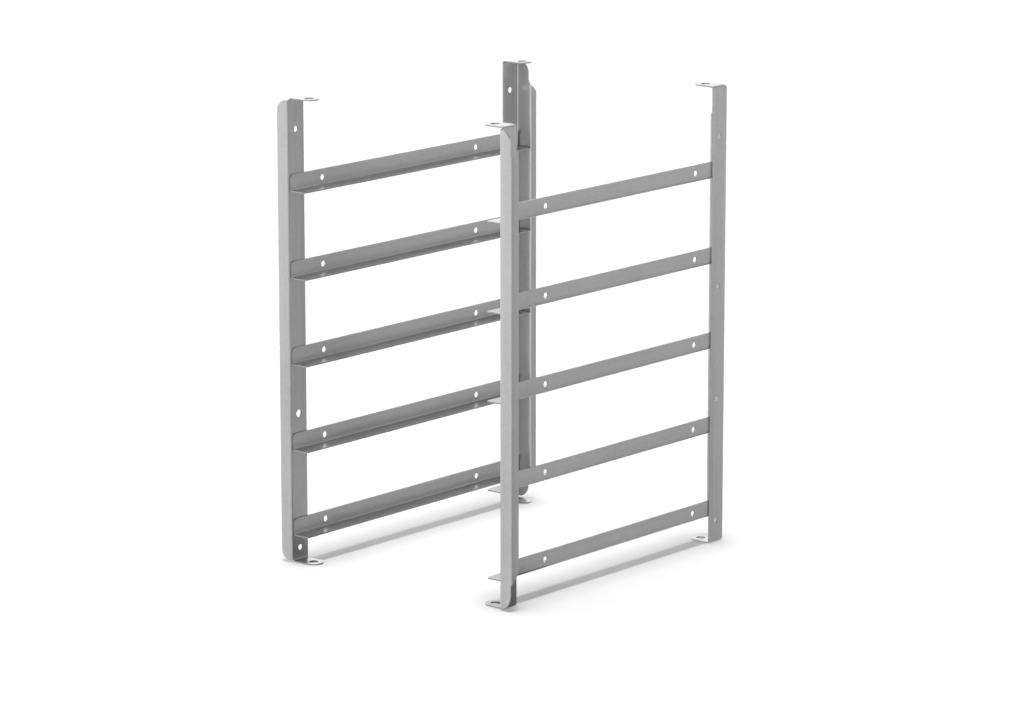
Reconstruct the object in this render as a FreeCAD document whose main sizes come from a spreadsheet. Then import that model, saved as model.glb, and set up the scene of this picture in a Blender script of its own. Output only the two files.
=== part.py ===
import FreeCAD, Part
import Sketcher
import os

# Ladder rack: two facing ladder frames of folded sheet, left and right. Each has a front upright, a
# rear upright and five angle runners spot-welded to the uprights' inner faces. Crates slide in from
# the front along the runners and stop against the rear flanges. Tabs at the top and bottom of the
# uprights bolt to a vehicle's floor and roof.
# Millimetres, +Z up. X is the width, Y runs from the open front to the back, and the origin is on
# the floor under the middle of the rack.

Vector = FreeCAD.Vector
doc = FreeCAD.newDocument("LadderRack")

DIMENSIONS = [
    ("gauge", 2.0, "sheet thickness"),
    ("bend_inside", 2.0, "inside radius of every fold"),
    ("bend_outside", 4.0, "outside radius of every fold"),
    ("clear_width", 401.5, "between the webs of facing runners"),
    ("rack_height", 700.0, "underside of the floor tabs to the top of the roof tabs"),
    ("frame_depth", 526.0, "front face of the front flanges to back face of the rear flanges"),
    ("web_depth", 36.0, "depth of an upright's web"),
    ("front_flange", 22.0, "front flange between its shoulders, from the web's inner face"),
    ("front_flange_end", 20.0, "front flange at its ends"),
    ("front_lip", 17.0, "front lip, back from the front face"),
    ("left_rear_flange", 28.0, "left rear flange between its shoulders, from the web's inner face"),
    ("right_rear_flange", 31.0, "right rear flange, likewise"),
    ("rear_flange_end", 21.0, "rear flange at its ends"),
    ("rear_lip", 10.0, "rear lip, back from the rear flange's back face"),
    ("shoulder_height", 41.0, "end of an upright to the start of its lip"),
    ("right_rear_shoulder", 50.0, "the same on the right rear upright"),
    ("shoulder_round", 8.0, "fillet where a rear flange widens"),
    ("end_round", 18.0, "rounded end corner of a flange"),
    ("end_gap", 3.0, "how far a flange stops short of the tabs' outer faces"),
    ("tab_width", 30.0, "fixing tab, along the rack's depth"),
    ("tab_reach", 40.0, "fixing tab, from the web's inner face to its round end"),
    ("tab_hole", 14.0, "hole in a fixing tab"),
    ("slit_width", 1.0, "relief slit between a tab's fold and the flange"),
    ("slit_length", 5.0, "length of that slit"),
    ("web_hole_inset", 19.5, "holes in an upright's web, from the flange face"),
    ("web_hole", 9.0, "plain hole in an upright's web"),
    ("cable_hole", 11.0, "large hole in a front upright's web"),
    ("runner_length", 516.0, "length of a runner"),
    ("runner_web", 26.0, "height of a runner"),
    ("runner_flange", 28.0, "width of a runner's shelf flange"),
    ("web_corner", 7.0, "rounded top corners of a runner's web"),
    ("flange_corner", 4.0, "rounded end corners of a runner's flange"),
    ("runner_hole", 9.0, "hole in a runner's web"),
    ("near_hole", 159.5, "nearer hole, from the runner's middle"),
    ("far_hole", 189.0, "farther hole, from the runner's middle"),
    ("first_row", 41.0, "floor to the underside of the lowest runners"),
    ("row_pitch", 130.0, "one row of runners to the next"),
    ("nugget", 5.0, "diameter of a spot weld's nugget"),
    ("nugget_depth", 1.5, "how far a nugget reaches into each sheet"),
    ("nugget_spread", 6.5, "spot welds, either side of the middle of a lapped end"),
]

ROWS = 5
SIDES = {"left": -1, "right": 1}

# Holes in the webs of the uprights, as (height above the floor, the sheet's name for its diameter).
WEB_HOLES = {
    "left_front": [(20.5, "web_hole"), (225.5, "cable_hole"), (652.5, "web_hole")],
    "right_front": [(20.5, "web_hole"), (225.5, "cable_hole"), (652.5, "web_hole")],
    "left_rear": [(652.5, "web_hole")],
    "right_rear": [(33.5, "web_hole"), (222.5, "web_hole"), (395.5, "web_hole"), (623.0, "web_hole")],
}

sheet = doc.addObject("Spreadsheet::Sheet", "Sizes")
for row, (alias, value, note) in enumerate(DIMENSIONS, start=1):
    sheet.set(f"A{row}", note)
    sheet.set(f"B{row}", str(value))
    sheet.setAlias(f"B{row}", alias)
doc.recompute()

WEB_FACE = "(Sizes.clear_width / 2 + Sizes.gauge)"
# The origin is under the middle of the whole rack, and the rear lips stand out behind the frames.
BACK_SHIFT = "(-Sizes.rear_lip / 2)"
# Middle of the lap between a runner's end and an upright's web, from the flange face.
LAP_MIDDLE = "((Sizes.frame_depth - Sizes.runner_length) / 2 + Sizes.web_depth) / 2"
OVERCUT = "5 * Sizes.gauge"
THROUGH_WEB = "4 * Sizes.gauge"
# An edge is found when its middle is this near to the asked place.
NEAR = 0.2


# The present value of an expression over the sheet's cells.
def size(expression):
    value = sheet.evalExpression(expression.replace("Sizes.", ""))
    return float(getattr(value, "Value", value))


def new_body(label):
    body = doc.addObject("PartDesign::Body", label)
    body.Label = label
    return body


# A sketch on one of the body's own origin planes, moved along the plane's normal if asked.
def new_sketch(body, plane, name, offset=None):
    sketch = body.newObject("Sketcher::SketchObject", name)
    origin_plane = [item for item in body.Origin.OriginFeatures if item.Role == plane][0]
    sketch.AttachmentSupport = [(origin_plane, "")]
    sketch.MapMode = "FlatFace"
    if offset:
        sketch.setExpression("AttachmentOffset.Base.z", offset)
    return sketch


# Dimension one point of a sketched edge from the sketch's origin.
def pin_point(sketch, edge, point, x, y):
    for kind, expression in (("DistanceX", x), ("DistanceY", y)):
        constraint = Sketcher.Constraint(kind, -1, 1, edge, point, size(expression))
        index = sketch.addConstraint(constraint)
        sketch.setExpression(f"Constraints[{index}]", expression)


# A closed outline of straight edges through the corners, each an (x, y) pair of expressions.
def draw_outline(sketch, corners):
    points = [Vector(size(x), size(y), 0) for x, y in corners]
    first = sketch.GeometryCount
    for start, end in zip(points, points[1:] + points[:1]):
        sketch.addGeometry(Part.LineSegment(start, end), False)
    for step, (x, y) in enumerate(corners):
        edge = first + step
        edge_before = first + (step - 1) % len(corners)
        sketch.addConstraint(Sketcher.Constraint("Coincident", edge_before, 2, edge, 1))
        pin_point(sketch, edge, 1, x, y)


# An open chain of straight edges closed by one arc, which passes near the tip and has its centre
# at the given x.
def draw_arched(sketch, corners, tip, centre_x):
    points = [Vector(size(x), size(y), 0) for x, y in corners]
    first = sketch.GeometryCount
    for start, end in zip(points, points[1:]):
        sketch.addGeometry(Part.LineSegment(start, end), False)
    arc = sketch.addGeometry(Part.Arc(points[-1], tip, points[0]), False)
    last = arc - 1
    for edge in range(first + 1, arc):
        sketch.addConstraint(Sketcher.Constraint("Coincident", edge - 1, 2, edge, 1))
    for edge, (x, y) in enumerate(corners[:-1], start=first):
        pin_point(sketch, edge, 1, x, y)
    pin_point(sketch, last, 2, *corners[-1])
    # A sketched arc runs anticlockwise, so either of its ends may meet the last line.
    gap = sketch.getPoint(arc, 1).distanceToPoint(points[-1])
    last_end, first_end = (1, 2) if gap < size("Sizes.gauge") else (2, 1)
    sketch.addConstraint(Sketcher.Constraint("Coincident", last, 2, arc, last_end))
    sketch.addConstraint(Sketcher.Constraint("Coincident", first, 1, arc, first_end))
    index = sketch.addConstraint(Sketcher.Constraint("DistanceX", -1, 1, arc, 3, size(centre_x)))
    sketch.setExpression(f"Constraints[{index}]", centre_x)


def draw_circle(sketch, x, y, diameter):
    centre = Vector(size(x), size(y), 0)
    circle = sketch.addGeometry(Part.Circle(centre, Vector(0, 0, 1), size(diameter) / 2), False)
    index = sketch.addConstraint(Sketcher.Constraint("Diameter", circle, size(diameter)))
    sketch.setExpression(f"Constraints[{index}]", diameter)
    pin_point(sketch, circle, 3, x, y)


def extrude(body, kind, sketch, length, middle=False, backwards=False):
    volume_before = 0 if body.Shape.isNull() else body.Shape.Volume
    feature = body.newObject(f"PartDesign::{kind}", f"{sketch.Name}{kind}")
    feature.Profile = sketch
    feature.setExpression("Length", length)
    feature.Midplane = middle
    feature.Reversed = backwards
    doc.recompute()
    grown = body.Shape.Volume - volume_before
    if (kind == "Pad") != (grown > 0):
        raise RuntimeError(f"{feature.Name} of {body.Label} changes the volume by {grown}")


# Round the edges whose middle lies at one of the places, each an (x, y, z) of expressions.
def round_edges(body, name, radius, places):
    base = body.Tip
    wanted = [Vector(*(size(expression) for expression in place)) for place in places]
    names = []
    for number, edge in enumerate(base.Shape.Edges, start=1):
        middle = edge.valueAt((edge.FirstParameter + edge.LastParameter) / 2)
        if min(middle.distanceToPoint(place) for place in wanted) < NEAR:
            names.append(f"Edge{number}")
    if len(names) != len(wanted):
        raise RuntimeError(f"{name} of {body.Label} finds {len(names)} of {len(wanted)} edges")
    feature = body.newObject("PartDesign::Fillet", name)
    feature.Base = (base, names)
    feature.setExpression("Radius", radius)
    doc.recompute()


# A folded upright: web, flange and lip, with a fixing tab folded inwards at each end. The body's
# own origin is at its foot, where the web's inner face meets the flange's outer face. A front
# flange turns outwards and a rear flange turns inwards, where it stops the crates.
def make_upright(side_name, place):
    side = SIDES[side_name]
    way = 1 if place == "front" else -1
    wide = "Sizes.front_flange" if place == "front" else f"Sizes.{side_name}_rear_flange"
    narrow = f"Sizes.{place}_flange_end"
    lip_start = "Sizes.right_rear_shoulder" if wide == "Sizes.right_rear_flange" else "Sizes.shoulder_height"
    body = new_body(f"{side_name}_{place}_upright")

    def outward(length):
        return f"{side} * ({length})"

    def flangeward(length):
        return f"{side * way} * ({length})"

    def inboard(length):
        return f"{way} * ({length})"

    # The lip leaves the front flange's back face, or the rear flange's front face, towards the back.
    if place == "front":
        web_outer = "Sizes.gauge"
        lip_root, lip_fold, lip_end = "Sizes.gauge", "0", "Sizes.front_lip"
        web_fold, web_crease = ("0", "0"), (web_outer, "Sizes.gauge")
    else:
        web_outer = "-Sizes.gauge"
        lip_root, lip_fold, lip_end = "0", "Sizes.gauge", "-Sizes.rear_lip"
        web_fold, web_crease = (web_outer, "0"), ("0", "Sizes.gauge")
    lip_inner = f"{wide} - Sizes.gauge"

    # The section is drawn square and its folds are rounded along the whole upright.
    section = new_sketch(body, "XY_Plane", "Section")
    if place == "front":
        corners = [("0", "0"), (wide, "0"), (wide, lip_end), (lip_inner, lip_end),
                   (lip_inner, "Sizes.gauge"), (web_outer, "Sizes.gauge"),
                   (web_outer, "Sizes.web_depth"), ("0", "Sizes.web_depth")]
    else:
        corners = [(web_outer, "0"), (lip_inner, "0"), (lip_inner, lip_end), (wide, lip_end),
                   (wide, "Sizes.gauge"), ("0", "Sizes.gauge"),
                   ("0", "Sizes.web_depth"), (web_outer, "Sizes.web_depth")]
    draw_outline(section, [(flangeward(x), inboard(y)) for x, y in corners])
    extrude(body, "Pad", section, "Sizes.rack_height")
    middle = "Sizes.rack_height / 2"
    round_edges(body, "Creases", "Sizes.bend_inside",
                [(flangeward(web_crease[0]), inboard(web_crease[1]), middle),
                 (flangeward(lip_inner), inboard(lip_root), middle)])
    round_edges(body, "Folds", "Sizes.bend_outside",
                [(flangeward(web_fold[0]), inboard(web_fold[1]), middle),
                 (flangeward(wide), inboard(lip_fold), middle)])

    # Towards each end the flange narrows at a 45 degree shoulder.
    flange_cut = new_sketch(body, "XZ_Plane", "FlangeCut")
    lip_cut = new_sketch(body, "YZ_Plane", "LipCut", flangeward(f"{wide} - Sizes.gauge / 2"))
    lip_rise = f"{way} * ({lip_end} - ({lip_root}))"
    for from_end in ("{}", "Sizes.rack_height - ({})"):
        corners = [(narrow, f"-{OVERCUT}"), (narrow, f"{lip_start} - {wide} + {narrow}"),
                   (f"{wide} + {OVERCUT}", f"{lip_start} + {OVERCUT}"),
                   (f"{wide} + {OVERCUT}", f"-{OVERCUT}")]
        draw_outline(flange_cut, [(flangeward(x), from_end.format(z)) for x, z in corners])
        corners = [(lip_root, f"{lip_start} - Sizes.gauge"), (lip_root, lip_start),
                   (lip_end, f"{lip_start} + {lip_rise}"),
                   (lip_end, f"{lip_start} - Sizes.gauge")]
        draw_outline(lip_cut, [(inboard(y), from_end.format(z)) for y, z in corners])
    extrude(body, "Pocket", flange_cut, "2 * Sizes.web_depth", middle=True)
    extrude(body, "Pocket", lip_cut, "2 * Sizes.gauge", middle=True)
    tab_edge = "Sizes.web_depth - Sizes.tab_width"
    end_cut = new_sketch(body, "XZ_Plane", "EndCut")
    for from_end in ("{}", "Sizes.rack_height - ({})"):
        draw_flange_end(end_cut, flangeward, from_end, narrow)
    extrude(body, "Pocket", end_cut, f"2 * ({tab_edge})", middle=True)

    # A tab lies at each end, parted from the flange by a relief slit.
    slits = new_sketch(body, "YZ_Plane", "Slits")
    for from_end in ("{}", "Sizes.rack_height - ({})"):
        corners = [(f"{tab_edge} - Sizes.slit_width", f"-{OVERCUT}"), (tab_edge, f"-{OVERCUT}"),
                   (tab_edge, "Sizes.slit_length"), (f"{tab_edge} - Sizes.slit_width", "Sizes.slit_length")]
        draw_outline(slits, [(inboard(y), from_end.format(z)) for y, z in corners])
    extrude(body, "Pocket", slits, THROUGH_WEB, middle=True)
    for name, height, downwards in (("FloorTab", "0", False), ("RoofTab", "Sizes.rack_height", True)):
        tab = new_sketch(body, "XY_Plane", name, height)
        draw_tab(tab, outward, inboard)
        extrude(body, "Pad", tab, "Sizes.gauge", backwards=downwards)

    holes = new_sketch(body, "YZ_Plane", "WebHoles")
    for height, diameter in WEB_HOLES[f"{side_name}_{place}"]:
        draw_circle(holes, inboard("Sizes.web_hole_inset"), str(height), f"Sizes.{diameter}")
    extrude(body, "Pocket", holes, THROUGH_WEB, middle=True)

    # Blind pockets in the web's inner face take the spot welds' nuggets.
    welds = new_sketch(body, "YZ_Plane", "Welds")
    for row_number in range(ROWS):
        for spread in ("-", "+"):
            draw_circle(welds, inboard(f"{LAP_MIDDLE} {spread} Sizes.nugget_spread"),
                        f"{row_height(row_number)} + Sizes.runner_web / 2", "Sizes.nugget")
    extrude(body, "Pocket", welds, "Sizes.nugget_depth", backwards=side > 0)

    ends = ("0", "Sizes.rack_height")
    if place == "rear":
        shoulder = f"{lip_start} - {wide} + {narrow}"
        round_edges(body, "ShoulderRounds", "Sizes.shoulder_round",
                    [(flangeward(narrow), inboard("Sizes.gauge / 2"), z)
                     for z in (shoulder, f"Sizes.rack_height - ({shoulder})")])
    tab_middle = inboard("Sizes.web_depth - Sizes.tab_width / 2")
    round_edges(body, "TabCreases", "Sizes.bend_inside",
                [("0", tab_middle, z) for z in ("Sizes.gauge", "Sizes.rack_height - Sizes.gauge")])
    round_edges(body, "TabFolds", "Sizes.bend_outside",
                [(outward("Sizes.gauge"), tab_middle, z) for z in ends])

    body.setExpression("Placement.Base.x", f"{side} * {WEB_FACE}")
    body.setExpression("Placement.Base.y", f"{-way} * Sizes.frame_depth / 2 + {BACK_SHIFT}")
    return body


# What is left out at a flange's end: the gap as far as the tab, and the rounded outer corner.
def draw_flange_end(sketch, flangeward, from_end, narrow):
    start = f"{narrow} - Sizes.end_round"
    corners = [(start, "Sizes.end_gap"), (f"-{OVERCUT}", "Sizes.end_gap"), (f"-{OVERCUT}", f"-{OVERCUT}"),
               (narrow, f"-{OVERCUT}"), (narrow, "Sizes.end_gap + Sizes.end_round")]
    tip = (f"{start} + Sizes.end_round * sin(45deg)",
           "Sizes.end_gap + Sizes.end_round * (1 - sin(45deg))")
    corners = [(flangeward(x), from_end.format(z)) for x, z in corners]
    draw_arched(sketch, corners, Vector(size(flangeward(tip[0])), size(from_end.format(tip[1])), 0),
                flangeward(start))


# The tab runs inwards from the web's outer face to a full round end about its hole.
def draw_tab(sketch, outward, inboard):
    root = outward("Sizes.gauge")
    centre = outward("Sizes.tab_width / 2 - Sizes.tab_reach")
    near = inboard("Sizes.web_depth - Sizes.tab_width")
    middle = inboard("Sizes.web_depth - Sizes.tab_width / 2")
    far = inboard("Sizes.web_depth")
    tip = Vector(size(outward("-Sizes.tab_reach")), size(middle), 0)
    draw_arched(sketch, [(centre, near), (root, near), (root, far), (centre, far)], tip, centre)
    draw_circle(sketch, centre, middle, "Sizes.tab_hole")


def row_height(row_number):
    return f"(Sizes.first_row + {row_number} * Sizes.row_pitch)"


# Nuggets of one runner, at both lapped ends, in the runner's own frame.
def draw_nuggets(sketch):
    for end in (-1, 1):
        for spread in ("-", "+"):
            along = f"{end} * (Sizes.frame_depth / 2 - ({LAP_MIDDLE}) {spread} Sizes.nugget_spread)"
            draw_circle(sketch, along, "Sizes.runner_web / 2", "Sizes.nugget")


# Runners and their welds share one frame: the web's outer face, mid-length, at the underside. The
# left ones are the right ones turned half round.
def place_in_row(body, side, row_number):
    body.Placement = FreeCAD.Placement(Vector(), FreeCAD.Rotation(Vector(0, 0, 1), 90 - 90 * side))
    body.setExpression("Placement.Base.x", f"{side} * {WEB_FACE}")
    body.setExpression("Placement.Base.y", BACK_SHIFT)
    body.setExpression("Placement.Base.z", row_height(row_number))


# A folded angle: its web is welded to the uprights and its flange carries a crate's edge.
def make_runner(side_name, row_number):
    body = new_body(f"{side_name}_runner_{row_number + 1}")
    section = new_sketch(body, "XZ_Plane", "Section")
    corners = [("0", "0"), ("0", "Sizes.runner_web"), ("-Sizes.gauge", "Sizes.runner_web"),
               ("-Sizes.gauge", "Sizes.gauge"), ("-Sizes.runner_flange", "Sizes.gauge"),
               ("-Sizes.runner_flange", "0")]
    draw_outline(section, corners)
    extrude(body, "Pad", section, "Sizes.runner_length", middle=True)

    holes = new_sketch(body, "YZ_Plane", "WebHoles")
    for along in ("-Sizes.near_hole", "Sizes.far_hole"):
        draw_circle(holes, along, "Sizes.runner_web / 2", "Sizes.runner_hole")
    extrude(body, "Pocket", holes, THROUGH_WEB, middle=True)

    welds = new_sketch(body, "YZ_Plane", "Welds")
    draw_nuggets(welds)
    extrude(body, "Pocket", welds, "Sizes.nugget_depth")

    ends = ("-Sizes.runner_length / 2", "Sizes.runner_length / 2")
    round_edges(body, "WebCorners", "Sizes.web_corner",
                [("-Sizes.gauge / 2", y, "Sizes.runner_web") for y in ends])
    round_edges(body, "FlangeCorners", "Sizes.flange_corner",
                [("-Sizes.runner_flange", y, "Sizes.gauge / 2") for y in ends])
    round_edges(body, "Crease", "Sizes.bend_inside", [("-Sizes.gauge", "0", "Sizes.gauge")])
    round_edges(body, "Fold", "Sizes.bend_outside", [("0", "0", "0")])
    place_in_row(body, SIDES[side_name], row_number)
    return body


# The four spot welds of one runner, as nuggets that reach into both sheets.
def make_welds(side_name, row_number):
    body = new_body(f"{side_name}_runner_{row_number + 1}_welds")
    nuggets = new_sketch(body, "YZ_Plane", "Nuggets")
    draw_nuggets(nuggets)
    extrude(body, "Pad", nuggets, "2 * Sizes.nugget_depth", middle=True)
    place_in_row(body, SIDES[side_name], row_number)
    return body


pieces = []
for side_name in SIDES:
    pieces += [make_upright(side_name, place) for place in ("front", "rear")]
    for row_number in range(ROWS):
        pieces.append(make_runner(side_name, row_number))
        pieces.append(make_welds(side_name, row_number))
doc.recompute()

for item in doc.Objects:
    if "Invalid" in item.State or "Error" in item.State:
        raise RuntimeError(f"{item.Name} failed: {item.State}")
for body in pieces:
    if body.Shape.isNull() or not body.Shape.isValid():
        raise RuntimeError(f"{body.Label} has no valid shape")

os.makedirs("parts", exist_ok=True)
for body in pieces:
    body.Shape.exportStep(f"parts/{body.Label}.step")
    box = body.Shape.BoundBox
    print(f"{body.Label}: {len(body.Shape.Solids)} solid(s), {body.Shape.Volume:.0f} mm3, "
          f"x {box.XMin:.1f} to {box.XMax:.1f}, y {box.YMin:.1f} to {box.YMax:.1f}, "
          f"z {box.ZMin:.1f} to {box.ZMax:.1f}")
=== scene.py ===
from math import radians, sin, tan

import bmesh
import bpy
from mathutils import Matrix, Vector


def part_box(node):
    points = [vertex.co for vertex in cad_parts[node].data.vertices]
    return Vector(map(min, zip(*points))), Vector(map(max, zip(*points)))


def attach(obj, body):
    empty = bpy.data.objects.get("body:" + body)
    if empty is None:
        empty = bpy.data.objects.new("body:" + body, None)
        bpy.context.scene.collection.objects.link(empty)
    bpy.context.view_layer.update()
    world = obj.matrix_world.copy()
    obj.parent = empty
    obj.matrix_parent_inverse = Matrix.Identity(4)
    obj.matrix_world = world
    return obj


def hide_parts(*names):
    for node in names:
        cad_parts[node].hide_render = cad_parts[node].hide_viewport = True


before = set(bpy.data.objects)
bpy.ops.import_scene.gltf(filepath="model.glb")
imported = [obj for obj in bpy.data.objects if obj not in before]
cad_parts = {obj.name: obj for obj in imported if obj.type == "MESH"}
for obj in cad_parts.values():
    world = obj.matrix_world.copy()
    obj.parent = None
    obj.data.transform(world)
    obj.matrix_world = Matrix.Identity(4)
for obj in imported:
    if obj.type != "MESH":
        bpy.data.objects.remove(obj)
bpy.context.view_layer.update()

mm = 0.001

# Every folded piece starts as a flat blank of this sheet, worked at the middle of its thickness.
sheet = {
    "gauge": 2 * mm,
    "bendInside": 2 * mm,
    "bendSteps": 8,
    "arcSteps": 8,
    "holeSteps": 40,
    "edgeRound": 0.2 * mm,
    "edgeSteps": 2,
    "edgeAngle": radians(50),  # folds turn by less than this at each step, and cut edges by more
    "flatAngle": radians(1),  # faces closer to one plane than this are merged
    "bend": radians(90),
    "shoulder": radians(45),
    "cutReach": 0.0001 * mm,  # a fold line's cut uses a point that is this near
    "sameLine": 0.001 * mm,  # points this near a fold line don't move with it
}
bendOutside = sheet["bendInside"] + sheet["gauge"]
bendMiddle = sheet["bendInside"] + sheet["gauge"] / 2
# a fold is a chain of straight chords along the bend's middle
bendLength = 2 * bendMiddle * sin(sheet["bend"] / 2 / sheet["bendSteps"]) * sheet["bendSteps"]


def newGroup(name, inputs, outputs):
    group = bpy.data.node_groups.new(name, "ShaderNodeTree")
    for label, kind, value in inputs:
        socket = group.interface.new_socket(name=label, in_out="INPUT", socket_type=kind)
        if value is not None:
            socket.default_value = value
    for label, kind in outputs:
        group.interface.new_socket(name=label, in_out="OUTPUT", socket_type=kind)
    return group, group.nodes.new("NodeGroupInput"), group.nodes.new("NodeGroupOutput")


def addNode(tree, kind, inputs=None, **settings):
    node = tree.nodes.new(kind)
    for name, value in settings.items():
        setattr(node, name, value)
    for name, value in (inputs or {}).items():
        if isinstance(value, bpy.types.NodeSocket):
            tree.links.new(value, node.inputs[name])
        else:
            node.inputs[name].default_value = value
    return node


def addMath(tree, operation, first, second):
    return addNode(tree, "ShaderNodeMath", {0: first, 1: second}, operation=operation).outputs[0]


def rescale(tree, value, fromLow, fromHigh, toLow, toHigh):
    inputs = {"Value": value, "From Min": fromLow, "From Max": fromHigh, "To Min": toLow, "To Max": toHigh}
    return addNode(tree, "ShaderNodeMapRange", inputs).outputs["Result"]


def stretchNoise(tree, noise, span):
    return rescale(tree, noise.outputs["Fac"], *span, 0, 1)


grainPattern = {
    "lines": {"Detail": 3.0, "Roughness": 0.6},
    "streaks": {"Detail": 2.0},
    "streakShare": 0.12,  # scale of the broad streaks, of the fine lines' scale
    "span": (0.3, 0.7),  # the part of a noise's range that becomes 0 to 1
}


# The long fine lines that a mill's rolls leave, drawn out along one axis of the coordinates.
def makeRolledGrain():
    group, given, result = newGroup("rolledGrain", [
        ("Coordinates", "NodeSocketVector", None),
        ("Stretch", "NodeSocketVector", (1, 1, 1)),
        ("Line Scale", "NodeSocketFloat", 900.0),
    ], [("Lines", "NodeSocketFloat"), ("Streaks", "NodeSocketFloat")])
    drawn = addNode(group, "ShaderNodeVectorMath",
                    {0: given.outputs["Coordinates"], 1: given.outputs["Stretch"]},
                    operation="MULTIPLY").outputs[0]
    lineScale = given.outputs["Line Scale"]
    fine = addNode(group, "ShaderNodeTexNoise",
                   {"Vector": drawn, "Scale": lineScale, **grainPattern["lines"]})
    coarseScale = addMath(group, "MULTIPLY", lineScale, grainPattern["streakShare"])
    coarse = addNode(group, "ShaderNodeTexNoise",
                     {"Vector": drawn, "Scale": coarseScale, **grainPattern["streaks"]})
    group.links.new(stretchNoise(group, fine, grainPattern["span"]), result.inputs["Lines"])
    group.links.new(stretchNoise(group, coarse, grainPattern["span"]), result.inputs["Streaks"])
    return group


handlingPattern = {
    "patches": {"Detail": 4.0, "Roughness": 0.55},
    "patchSpan": (0.3, 0.7),
    "rubs": {"Detail": 6.0, "Roughness": 0.7, "Distortion": 1.2},
    "rubSpan": (0.55, 0.75),
    "spangleScale": 420.0,
}


# Broad cloudy patches of the finish, the faint rub marks of handling, and the metal's fine spangle.
def makeHandling():
    group, given, result = newGroup("handling", [
        ("Coordinates", "NodeSocketVector", None),
        ("Patch Scale", "NodeSocketFloat", 9.0),
        ("Rub Scale", "NodeSocketFloat", 55.0),
    ], [("Patches", "NodeSocketFloat"), ("Rubs", "NodeSocketFloat"), ("Spangle", "NodeSocketFloat")])
    place = given.outputs["Coordinates"]
    patches = addNode(group, "ShaderNodeTexNoise", {
        "Vector": place, "Scale": given.outputs["Patch Scale"], **handlingPattern["patches"]})
    rubs = addNode(group, "ShaderNodeTexNoise", {
        "Vector": place, "Scale": given.outputs["Rub Scale"], **handlingPattern["rubs"]})
    grains = addNode(group, "ShaderNodeTexVoronoi",
                     {"Vector": place, "Scale": handlingPattern["spangleScale"]}, feature="F1")
    shade = addNode(group, "ShaderNodeSeparateColor", {"Color": grains.outputs["Color"]})
    group.links.new(stretchNoise(group, patches, handlingPattern["patchSpan"]), result.inputs["Patches"])
    group.links.new(stretchNoise(group, rubs, handlingPattern["rubSpan"]), result.inputs["Rubs"])
    group.links.new(shade.outputs["Red"], result.inputs["Spangle"])
    return group


rolledGrain = makeRolledGrain()
handling = makeHandling()


def newMaterial(name):
    material = bpy.data.materials.new(name)
    material.use_nodes = True
    tree = material.node_tree
    return material, tree, tree.nodes["Principled BSDF"]


def mixColours(tree, share, low, high):
    node = addNode(tree, "ShaderNodeMix", {"Factor": share}, data_type="RGBA")
    for name, colour in (("A", low), ("B", high)):
        socket = [item for item in node.inputs if item.name == name and item.type == "RGBA"][0]
        if isinstance(colour, bpy.types.NodeSocket):
            tree.links.new(colour, socket)
        else:
            socket.default_value = (*colour, 1)
    return [item for item in node.outputs if item.type == "RGBA"][0]


def addGroup(tree, group, values):
    return addNode(tree, "ShaderNodeGroup", values, node_tree=group).outputs


# Colour, roughness and fine relief of one steel finish, each from a mask.
def applyFinish(tree, principled, finish, tone, gloss, relief):
    colour = mixColours(tree, tone, finish["dark"], finish["light"])
    tree.links.new(colour, principled.inputs["Base Color"])
    rough = rescale(tree, gloss, 0, 1, finish["roughLow"], finish["roughHigh"])
    tree.links.new(rough, principled.inputs["Roughness"])
    principled.inputs["Metallic"].default_value = 1.0
    bump = addNode(tree, "ShaderNodeBump", {"Height": relief, "Strength": finish["reliefStrength"],
                                            "Distance": finish["reliefHeight"]})
    tree.links.new(bump.outputs["Normal"], principled.inputs["Normal"])
    return colour


# the sum of several masks, each times its share
def addShares(tree, masks):
    total = 0.0
    for mask, share in masks:
        total = addNode(tree, "ShaderNodeMath", {0: mask, 1: share, 2: total},
                        operation="MULTIPLY_ADD").outputs[0]
    return total


sheetFinish = {
    "dark": (0.44, 0.44, 0.44),
    "light": (0.55, 0.55, 0.55),
    "rubbed": (0.64, 0.64, 0.64),
    "rubShare": 0.25,
    "patchTone": 0.35,
    "streakTone": 0.35,
    "spangleTone": 0.3,
    "lineGloss": 0.5,
    "patchGloss": 0.5,
    "roughLow": 0.26,
    "roughHigh": 0.38,
    "lineStretch": 0.02,
    "lineScale": 1100.0,
    "reliefStrength": 0.25,
    "reliefHeight": 0.012 * mm,
}


# along is the axis of the mill's lines: 0, 1 or 2 for X, Y or Z
def makeSheetSteel(name, along):
    material, tree, principled = newMaterial(name)
    place = addNode(tree, "ShaderNodeTexCoord").outputs["Object"]
    stretch = [1.0, 1.0, 1.0]
    stretch[along] = sheetFinish["lineStretch"]
    grain = addGroup(tree, rolledGrain, {"Coordinates": place, "Stretch": stretch,
                                         "Line Scale": sheetFinish["lineScale"]})
    marks = addGroup(tree, handling, {"Coordinates": place})
    tone = addShares(tree, ((marks["Patches"], sheetFinish["patchTone"]),
                            (grain["Streaks"], sheetFinish["streakTone"]),
                            (marks["Spangle"], sheetFinish["spangleTone"])))
    gloss = addShares(tree, ((grain["Lines"], sheetFinish["lineGloss"]),
                             (marks["Patches"], sheetFinish["patchGloss"])))
    colour = applyFinish(tree, principled, sheetFinish, tone, gloss, grain["Lines"])
    rubbed = addMath(tree, "MULTIPLY", marks["Rubs"], sheetFinish["rubShare"])
    tree.links.new(mixColours(tree, rubbed, colour, sheetFinish["rubbed"]), principled.inputs["Base Color"])
    return material


# the sheared rim of a sheet, with the shear's fine marks across it, painted darker as shade where runner
# ends meet the uprights
rimFinishWithPaintedShade = {
    "dark": (0.29, 0.29, 0.29),
    "light": (0.41, 0.41, 0.41),
    "patchScale": 160.0,
    "rubScale": 700.0,
    "roughLow": 0.24,
    "roughHigh": 0.36,
    "reliefStrength": 0.25,
    "reliefHeight": 0.01 * mm,
}

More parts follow.
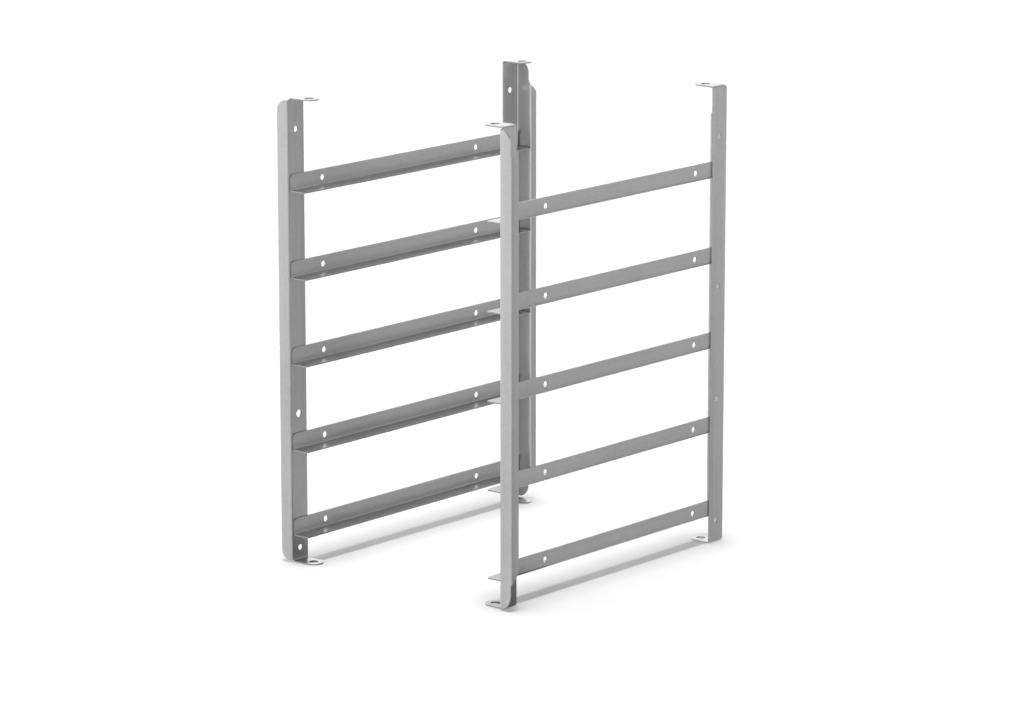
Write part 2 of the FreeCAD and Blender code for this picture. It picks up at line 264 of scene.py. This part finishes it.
# the darker, heat-tinted steel of a spot weld
weldFinish = {
    "dark": (0.22, 0.21, 0.20),
    "light": (0.38, 0.37, 0.36),
    "patchScale": 300.0,
    "rubScale": 900.0,
    "roughLow": 0.45,
    "roughHigh": 0.65,
    "reliefStrength": 0.3,
    "reliefHeight": 0.02 * mm,
}


def makeMarkedSteel(name, finish):
    material, tree, principled = newMaterial(name)
    place = addNode(tree, "ShaderNodeTexCoord").outputs["Object"]
    marks = addGroup(tree, handling, {"Coordinates": place, "Patch Scale": finish["patchScale"],
                                      "Rub Scale": finish["rubScale"]})
    applyFinish(tree, principled, finish, marks["Patches"], marks["Rubs"], marks["Rubs"])
    return material


uprightSteel = makeSheetSteel("uprightSteel", 2)
runnerSteel = makeSheetSteel("runnerSteel", 1)
# the rim steel's darker colour is painted shade for the contact lines between runners and uprights
shearedRimPaintedShade = makeMarkedSteel("shearedRimPaintedShade", rimFinishWithPaintedShade)
weldSteel = makeMarkedSteel("weldSteel", weldFinish)
print("materials ready")


# corners are (across, along, offset of the corner's rounding), holes are (across, along, diameter)
def makeBlank(corners, holes):
    flat = bmesh.new()
    points = [flat.verts.new((across, along, 0)) for across, along, rounding in corners]
    flat.faces.new(points)
    for point, (across, along, rounding) in zip(points, corners):
        if rounding:
            bmesh.ops.bevel(flat, geom=[point], offset=rounding, offset_type="OFFSET", affect="VERTICES",
                            segments=sheet["arcSteps"], profile=0.5, material=-1)
    bmesh.ops.delete(flat, geom=list(flat.faces), context="FACES_ONLY")
    for across, along, diameter in holes:
        bmesh.ops.create_circle(flat, segments=sheet["holeSteps"], radius=diameter / 2,
                                matrix=Matrix.Translation((across, along, 0)))
    bmesh.ops.triangle_fill(flat, use_beauty=True, edges=list(flat.edges), normal=(0, 0, 1))
    return flat


# Folds what lies beyond start, in the given way along the axis (0 across, 1 along), by a right
# angle. turn +1 folds towards the blank's upper side, -1 towards its lower side. isFolded tells which
# points may move.
def foldBlank(flat, axis, start, way, turn, isFolded=None):
    steps = sheet["bendSteps"]
    outwards = Vector((way, 0, 0)) if axis == 0 else Vector((0, way, 0))
    hinge = outwards.cross(Vector((0, 0, 1)))
    lines = [start + way * bendLength * index / steps for index in range(steps + 1)]
    for line in lines:
        bmesh.ops.bisect_plane(flat, geom=list(flat.verts) + list(flat.edges) + list(flat.faces),
                               dist=sheet["cutReach"], plane_co=outwards * line * way, plane_no=outwards)
    folded = [point for point in flat.verts if isFolded is None or isFolded(point.co)]
    beyond = [[point for point in folded if way * (point.co[axis] - line) > sheet["sameLine"]]
              for line in lines]
    for index in reversed(range(steps + 1)):
        share = 0.5 if index in (0, steps) else 1.0  # the first and last turns are half ones
        bmesh.ops.rotate(flat, cent=outwards * lines[index] * way, verts=beyond[index],
                         matrix=Matrix.Rotation(turn * share * sheet["bend"] / steps, 3, hinge))


# Places a folded blank: its across, along and upper directions and its origin in the rack's frame.
def placeBlank(flat, across, along, upper, origin):
    turned = Matrix((across, along, upper)).transposed().to_4x4()
    bmesh.ops.transform(flat, matrix=Matrix.Translation(origin) @ turned, verts=flat.verts)


# Gives a folded blank its thickness, its deburred edges and its steel, and puts it in its node's place.
def finishSheet(flat, name, replaced, steel):
    bmesh.ops.dissolve_limit(flat, angle_limit=sheet["flatAngle"], verts=flat.verts, edges=flat.edges)
    bmesh.ops.recalc_face_normals(flat, faces=flat.faces)
    mesh = bpy.data.meshes.new(name)
    flat.to_mesh(mesh)
    flat.free()
    piece = bpy.data.objects.new(name, mesh)
    bpy.context.scene.collection.objects.link(piece)
    mesh.materials.append(steel)
    # the rims get the darker rim steel, painted shade for the contact lines between parts
    mesh.materials.append(shearedRimPaintedShade)
    mesh.shade_smooth()
    thicken = piece.modifiers.new("thickness", "SOLIDIFY")
    thicken.thickness = sheet["gauge"]
    thicken.offset = 0
    thicken.use_even_offset = True
    thicken.material_offset_rim = 1
    deburr = piece.modifiers.new("deburred edges", "BEVEL")
    deburr.width = sheet["edgeRound"]
    deburr.segments = sheet["edgeSteps"]
    deburr.limit_method = "ANGLE"
    deburr.angle_limit = sheet["edgeAngle"]
    deburr.harden_normals = True
    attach(piece, "root")
    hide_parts(replaced)


upright = {
    "webDepth": 36 * mm,
    "endRound": 18 * mm,
    "tabWidth": 30 * mm,
    "tabReach": 40 * mm,
    "tabHole": 14 * mm,
    "slitWidth": 1 * mm,
    "slitLength": 5 * mm,
    "endGap": 3 * mm,
    "clearance": 0.005 * mm,  # leaves the front and rear faces just inside the node's box
    "tipFlat": 0.02 * mm,  # stays straight at a tab's round end
    "holeInset": 19.5 * mm,
    "front": {"flangeEnd": 20 * mm, "lip": 17 * mm, "shoulderRound": 0},
    "rear": {"flangeEnd": 21 * mm, "lip": 10 * mm, "shoulderRound": 8 * mm},
}

# each flange between its shoulders, and the shoulders' distance from the ends
flangeShape = {
    "left_front": {"wide": 22 * mm, "shoulder": 41 * mm},
    "right_front": {"wide": 22 * mm, "shoulder": 41 * mm},
    "left_rear": {"wide": 28 * mm, "shoulder": 41 * mm},
    "right_rear": {"wide": 31 * mm, "shoulder": 50 * mm},
}

# web holes, as millimetres above the floor and across
webHoles = {
    "left_front": [(20.5, 9), (225.5, 11), (652.5, 9)],
    "right_front": [(20.5, 9), (225.5, 11), (652.5, 9)],
    "left_rear": [(652.5, 9)],
    "right_rear": [(33.5, 9), (222.5, 9), (395.5, 9), (623.0, 9)],
}


def makeUpright(sideName, place):
    corner = f"{sideName}_{place}"
    node = f"{corner}_upright"
    low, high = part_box(node)
    side = 1 if sideName == "right" else -1
    way = 1 if place == "front" else -1
    own = upright[place]
    wide = flangeShape[corner]["wide"]
    height = high.z - low.z
    webFlat = upright["webDepth"] - bendOutside
    # the rear flange and lip are given from the far side of the sheet that they leave
    overlap = 0 if place == "front" else sheet["gauge"]
    flangeFlat = wide + overlap - 2 * bendOutside
    lipFlat = own["lip"] + overlap - bendOutside
    endOver = own["flangeEnd"] - wide + bendOutside
    lipStart = webFlat + bendLength + flangeFlat
    lipEnd = lipStart + bendLength + lipFlat
    flangeEnd = lipStart + endOver
    shoulder = flangeShape[corner]["shoulder"] - wide + own["flangeEnd"]
    shoulderEnd = shoulder + lipEnd - flangeEnd
    tabFlat = upright["tabReach"] - sheet["bendInside"]
    tabEnd = bendOutside - bendLength - tabFlat
    tabRound = (upright["tabWidth"] - upright["tipFlat"]) / 2
    slitEnd = upright["tabWidth"] + upright["slitWidth"]
    shoulderOffset = own["shoulderRound"] * tan(sheet["shoulder"] / 2)
    lowerHalf = [
        (0, tabEnd, tabRound),
        (upright["tabWidth"], tabEnd, tabRound),
        (upright["tabWidth"], upright["slitLength"], 0),
        (slitEnd, upright["slitLength"], 0),
        (slitEnd, upright["endGap"], 0),
        (flangeEnd, upright["endGap"], min(upright["endRound"], flangeEnd - slitEnd)),
        (flangeEnd, shoulder, shoulderOffset),
        (lipEnd, shoulderEnd, 0),
    ]
    upperHalf = [(across, height - along, rounding) for across, along, rounding in reversed(lowerHalf)]
    tabHole = tabEnd + upright["tabWidth"] / 2
    holes = [(upright["webDepth"] - upright["holeInset"], z * mm, diameter * mm)
             for z, diameter in webHoles[corner]]
    holes += [(upright["tabWidth"] / 2, along, upright["tabHole"])
              for along in (tabHole, height - tabHole)]
    flat = makeBlank(lowerHalf + upperHalf, holes)

    def onTab(point):
        return point.x < upright["tabWidth"] + upright["slitWidth"] / 2

    foldBlank(flat, 1, bendOutside, -1, -1, onTab)
    foldBlank(flat, 1, height - bendOutside, 1, -1, onTab)
    foldBlank(flat, 0, lipStart, 1, 1)
    foldBlank(flat, 0, webFlat, 1, way)
    # the front flange stands outside its web, and the rear upright's web is its outermost face
    outerFace = high.x if side > 0 else -low.x
    webFace = outerFace - (wide if place == "front" else sheet["gauge"])
    flangeFace = low.y if place == "front" else high.y - own["lip"]
    origin = Vector((side * (webFace + sheet["gauge"] / 2),
                     flangeFace + way * (upright["webDepth"] + upright["clearance"]), low.z))
    placeBlank(flat, (0, -way, 0), (0, 0, 1), (side, 0, 0), origin)
    finishSheet(flat, f"{sideName}-{place}-upright", node, uprightSteel)


for sideName in ("left", "right"):
    for place in ("front", "rear"):
        makeUpright(sideName, place)
print("uprights folded")

runner = {
    "rows": 5,
    "web": 26 * mm,
    "flange": 28 * mm,
    "webCorner": 7 * mm,
    "flangeCorner": 4 * mm,
    "hole": 9 * mm,
    "nearHole": 159.5 * mm,
    "farHole": 189 * mm,
}


def makeRunner(sideName, number):
    node = f"{sideName}_runner_{number}"
    low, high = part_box(node)
    side = 1 if sideName == "right" else -1
    length = high.y - low.y
    webFlat = runner["web"] - bendOutside
    width = webFlat + bendLength + runner["flange"] - bendOutside
    corners = [
        (0, 0, runner["webCorner"]),
        (0, length, runner["webCorner"]),
        (width, length, runner["flangeCorner"]),
        (width, 0, runner["flangeCorner"]),
    ]
    holes = [(runner["web"] / 2, length / 2 + along, runner["hole"])
             for along in (-runner["nearHole"], runner["farHole"])]
    flat = makeBlank(corners, holes)
    foldBlank(flat, 0, webFlat, 1, -1)
    webFace = high.x if side > 0 else low.x
    origin = Vector((webFace - side * sheet["gauge"] / 2, (low.y + high.y) / 2 - side * length / 2,
                     low.z + runner["web"]))
    placeBlank(flat, (0, 0, -1), (0, side, 0), (side, 0, 0), origin)
    finishSheet(flat, f"{sideName}-runner-{number}", node, runnerSteel)


for sideName in ("left", "right"):
    for row in range(runner["rows"]):
        makeRunner(sideName, row + 1)
print("runners folded")

for name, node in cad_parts.items():
    if name.endswith("_welds"):
        node.data.materials.clear()
        node.data.materials.append(weldSteel)

# A pale floor, a sky that is brightest behind the rack's left side, and a soft sun overhead.
studio = {
    "floorMiddle": (0, 0, 0),
    "floorSize": (40, 40),
    "floorLow": (0.77, 0.77, 0.77),
    "floorHigh": (0.79, 0.79, 0.79),
    "cloudScale": 0.8,
    "groundRough": 0.9,
    "skyMiddle": 1.2,
    "skySlope": (-0.8, 0.28, -1.2),
    "skyLeast": 0.15,
    "frontWay": (0.64, -0.77, 0),  # from the rack towards the viewer's side
    "frontRise": (0.2, 1, 0, 1),  # from 0.2 to 1 of that way, the sky gains from 0 to 1
    "floorFade": (-0.34, 0, 0.32, 1),  # below the horizon the sky fades to 0.32 of its light
    # a dark sheet, seen only in the steel, that paints the floor's shade into the feet's reflections
    "shadeMiddle": (0.065, -0.18, 0),
    "shadeSize": (0.51, 0.14),
    "shadeColour": (0.26, 0.26, 0.26),
    "cardMiddle": (0, 0, 3),
    "cardSize": (3.4, 3.4),
    "cardGlow": 0.6,
    "sunTilt": (1, 1),
    "sunAngle": 12,
    "sunStrength": 2.5,
}


def makeGround(name, middle, size):
    flat = bmesh.new()
    bmesh.ops.create_grid(flat, x_segments=1, y_segments=1, size=0.5,
                          matrix=Matrix.Translation(middle) @ Matrix.Diagonal((*size, 1, 1)))
    mesh = bpy.data.meshes.new(name)
    flat.to_mesh(mesh)
    flat.free()
    ground = bpy.data.objects.new(name, mesh)
    bpy.context.scene.collection.objects.link(ground)
    material, tree, principled = newMaterial(name)
    principled.inputs["Roughness"].default_value = studio["groundRough"]
    mesh.materials.append(material)
    return ground, principled


def makeFloor():
    floor, principled = makeGround("paleFloor", studio["floorMiddle"], studio["floorSize"])
    tree = principled.id_data
    place = addNode(tree, "ShaderNodeTexCoord").outputs["Object"]
    cloud = addNode(tree, "ShaderNodeTexNoise", {"Vector": place, "Scale": studio["cloudScale"]})
    tree.links.new(mixColours(tree, cloud.outputs["Fac"], studio["floorLow"], studio["floorHigh"]),
                   principled.inputs["Base Color"])
    floor.visible_glossy = False


# Two surfaces that only the steel mirrors: a dark sheet by the front feet, a painted reflection of the
# floor's shade there, and a bright card overhead.
def makeMirrored():
    shade, principled = makeGround("paintedFloorShade", studio["shadeMiddle"], studio["shadeSize"])
    principled.inputs["Base Color"].default_value = (*studio["shadeColour"], 1)
    card, principled = makeGround("overheadCard", studio["cardMiddle"], studio["cardSize"])
    principled.inputs["Emission Color"].default_value = (1, 1, 1, 1)
    principled.inputs["Emission Strength"].default_value = studio["cardGlow"]
    for piece in (shade, card):
        for ray in ("camera", "diffuse", "transmission", "volume_scatter", "shadow"):
            setattr(piece, f"visible_{ray}", False)


# The camera sees a white backdrop, and everything else is lit by the sloping sky.
def makeSky():
    world = bpy.data.worlds.new("softbox")
    bpy.context.scene.world = world
    world.use_nodes = True
    tree = world.node_tree
    shown = tree.nodes["Background"]
    shown.inputs["Color"].default_value = (1, 1, 1, 1)
    shown.inputs["Strength"].default_value = 1.0
    towards = addNode(tree, "ShaderNodeTexCoord").outputs["Object"]
    slope, front = (addNode(tree, "ShaderNodeVectorMath", {0: towards, 1: studio[name]},
                            operation="DOT_PRODUCT").outputs["Value"]
                    for name in ("skySlope", "frontWay"))
    strength = addMath(tree, "ADD", slope, studio["skyMiddle"])
    strength = addMath(tree, "MAXIMUM", strength, studio["skyLeast"])
    strength = addMath(tree, "ADD", strength, rescale(tree, front, *studio["frontRise"]))
    height = addNode(tree, "ShaderNodeSeparateXYZ", {0: towards}).outputs["Z"]
    strength = addMath(tree, "MULTIPLY", strength, rescale(tree, height, *studio["floorFade"]))
    lighting = addNode(tree, "ShaderNodeBackground", {"Color": (1, 1, 1, 1), "Strength": strength})
    seen = addNode(tree, "ShaderNodeLightPath").outputs["Is Camera Ray"]
    mix = addNode(tree, "ShaderNodeMixShader", {0: seen, 1: lighting.outputs[0], 2: shown.outputs[0]})
    tree.links.new(mix.outputs[0], tree.nodes["World Output"].inputs["Surface"])


def makeSun():
    lamp = bpy.data.lights.new("overhead", "SUN")
    lamp.angle = radians(studio["sunAngle"])
    lamp.energy = studio["sunStrength"]
    holder = bpy.data.objects.new("overhead", lamp)
    bpy.context.scene.collection.objects.link(holder)
    holder.rotation_euler = [radians(angle) for angle in (*studio["sunTilt"], 0)]
    holder.visible_glossy = False


camera = {
    "azimuth": 40.057,
    "elevation": 12.312,
    "distance": 6.437,
    "lens": 151.67,
    "sensor": 36,
    "reach": 100,
    "aim": (5.13 * mm, -4.68 * mm, 301.0 * mm),
}


def makeCamera():
    lens = bpy.data.cameras.new("camera")
    lens.lens = camera["lens"]
    lens.sensor_width = camera["sensor"]
    lens.clip_end = camera["reach"]
    holder = bpy.data.objects.new("camera", lens)
    bpy.context.scene.collection.objects.link(holder)
    back = Vector((0, -1, 0))
    back.rotate(Matrix.Rotation(radians(-camera["elevation"]), 3, "X"))
    back.rotate(Matrix.Rotation(radians(camera["azimuth"]), 3, "Z"))
    holder.location = Vector(camera["aim"]) + back * camera["distance"]
    holder.rotation_euler = (-back).to_track_quat("-Z", "Y").to_euler()
    bpy.context.scene.camera = holder


makeFloor()
makeMirrored()
makeSky()
makeSun()
makeCamera()
bpy.context.scene.view_settings.view_transform = "Standard"
print("studio ready")
